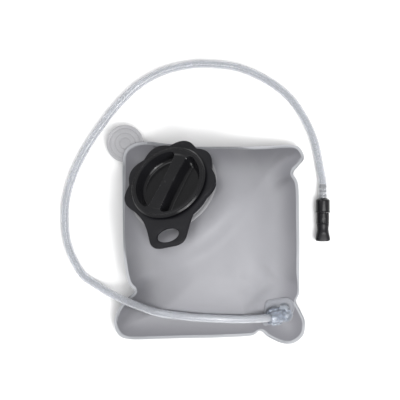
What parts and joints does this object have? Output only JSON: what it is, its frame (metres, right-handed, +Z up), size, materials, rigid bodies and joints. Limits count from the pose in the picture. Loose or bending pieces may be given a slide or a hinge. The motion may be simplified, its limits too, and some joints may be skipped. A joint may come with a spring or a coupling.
{
  "type": "hydration bladder",
  "caption": "Inflated translucent drinking-water bladder with a tilted screw-cap filling port, handle collar, corner outlet, hose and twist-lock bite valve.",
  "frame": {"origin": "on the floor under the middle of the box of the bag, its port and its fittings, leaving out the hose and the bite valve", "axes": "+Z up with the bag lying on its back film; +Y along the bag from the outlet end to the filling port end; +X across the bag towards the outlet's side"},
  "size_m": [0.3207, 0.3372, 0.1151],
  "materials": {
    "bag_film": "satin translucent film",
    "clear_hose": "clear gloss",
    "clear_fittings": "clear gloss",
    "frosted_disc": "frosted translucent",
    "black_cap": "satin",
    "black_plastic": "satin",
    "black_silicone": "satin",
    "seal_rubber": "matte",
    "valve_core": "satin"
  },
  "bodies": {
    "bladder": {"front_film": "bag_film", "back_film": "bag_film", "hanging_disc": "frosted_disc", "port_flange": "clear_fittings", "collar_seal": "seal_rubber", "port_collar": "black_plastic", "outlet_patch": "clear_fittings", "outlet_elbow": "clear_fittings", "elbow_seal": "seal_rubber", "hose_collar": "clear_fittings", "drinking_hose": "clear_hose", "valve_housing": "black_plastic", "seat_disc": "seal_rubber", "retaining_ring": "black_plastic"},
    "gasket": {"cap_gasket": "seal_rubber"},
    "screw_cap": {"fill_cap": "black_cap"},
    "twist_valve": {"shutoff_core": "valve_core", "core_ring": "seal_rubber", "valve_sleeve": "black_plastic", "mouthpiece": "black_silicone"}
  },
  "joints": [
    {"name": "cap_rise", "type": "slide", "parent": "bladder", "child": "gasket", "axis": [-0.3787, 0.4677, 0.7986], "range_m": [0, 0.0241]},
    {"name": "cap_turn", "type": "hinge", "parent": "gasket", "child": "screw_cap", "pos_m": [-0.03657, 0.05356, 0.0604], "axis": [-0.3787, 0.4677, 0.7986], "range_deg": [0, 1080]},
    {"name": "valve_twist", "type": "hinge", "parent": "bladder", "child": "twist_valve", "pos_m": [0.13944, 0.04306, 0.0088], "axis": [0, -1, 0], "range_deg": [0, 90]}
  ],
  "couplings": [
    {"joint": "cap_rise", "follows": "cap_turn", "m_per_rad": 0.0012732}
  ]
}
